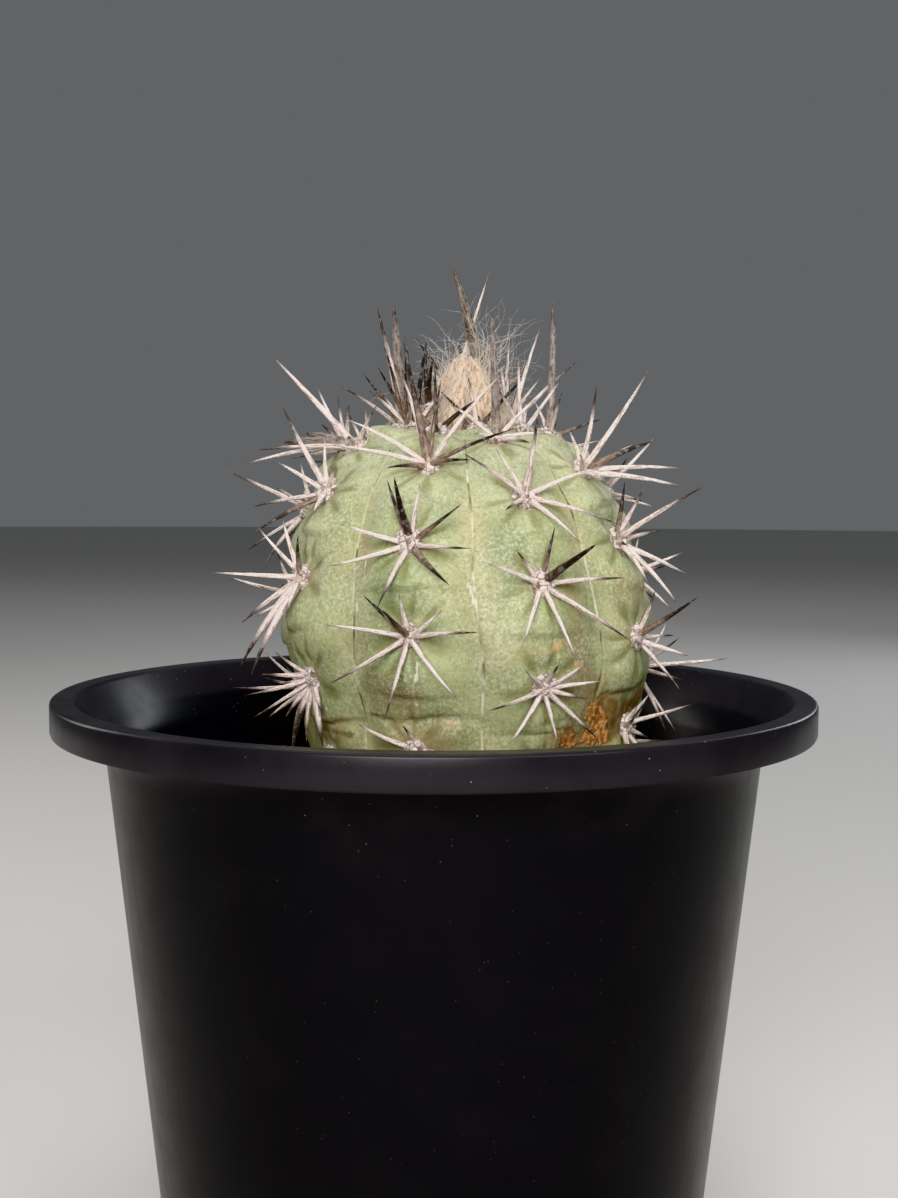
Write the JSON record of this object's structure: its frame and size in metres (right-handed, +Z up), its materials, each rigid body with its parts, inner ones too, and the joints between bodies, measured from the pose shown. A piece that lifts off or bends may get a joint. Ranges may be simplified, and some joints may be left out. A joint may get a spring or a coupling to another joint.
{
  "type": "potted ribbed globular cactus",
  "caption": "Pale grey-green ribbed globular cactus with clusters of stout straight spines and a woolly crown, growing in soil in a round black plastic nursery pot.",
  "frame": {"origin": "centre of the pot's base, on the surface that the pot stands on", "axes": "+Z up the pot's axis; -Y is the front that the picture shows, so +X is to its right"},
  "size_m": [0.12, 0.12, 0.1699],
  "materials": {
    "pot_plastic": "satin",
    "soil": "matte",
    "stem_skin": "matte",
    "crown_wool": "matte",
    "spines": "satin"
  },
  "bodies": {
    "root": {"pot": "pot_plastic", "soil": "soil", "stem": "stem_skin", "crown_wool": "crown_wool", "rib_1_areole_1": "spines", "rib_1_areole_2": "spines", "rib_1_areole_3": "spines", "rib_1_areole_4": "spines", "rib_1_areole_5": "spines", "rib_2_areole_1": "spines", "rib_2_areole_2": "spines", "rib_2_areole_3": "spines", "rib_2_areole_4": "spines", "rib_2_areole_5": "spines", "rib_2_areole_6": "spines", "rib_3_areole_1": "spines", "rib_3_areole_2": "spines", "rib_3_areole_3": "spines", "rib_3_areole_4": "spines", "rib_3_areole_5": "spines", "rib_4_areole_1": "spines", "rib_4_areole_2": "spines", "rib_4_areole_3": "spines", "rib_4_areole_4": "spines", "rib_4_areole_5": "spines", "rib_4_areole_6": "spines", "rib_5_areole_1": "spines", "rib_5_areole_2": "spines", "rib_5_areole_3": "spines", "rib_5_areole_4": "spines", "rib_5_areole_5": "spines", "rib_6_areole_1": "spines", "rib_6_areole_2": "spines", "rib_6_areole_3": "spines", "rib_6_areole_4": "spines", "rib_6_areole_5": "spines", "rib_6_areole_6": "spines", "rib_7_areole_1": "spines", "rib_7_areole_2": "spines", "rib_7_areole_3": "spines", "rib_7_areole_4": "spines", "rib_7_areole_5": "spines", "rib_8_areole_1": "spines", "rib_8_areole_2": "spines", "rib_8_areole_3": "spines", "rib_8_areole_4": "spines", "rib_8_areole_5": "spines", "rib_9_areole_1": "spines", "rib_9_areole_2": "spines", "rib_9_areole_3": "spines", "rib_9_areole_4": "spines", "rib_9_areole_5": "spines", "rib_9_areole_6": "spines", "crown_areole_1": "spines", "crown_areole_2": "spines", "crown_areole_3": "spines"}
  },
  "joints": []
}
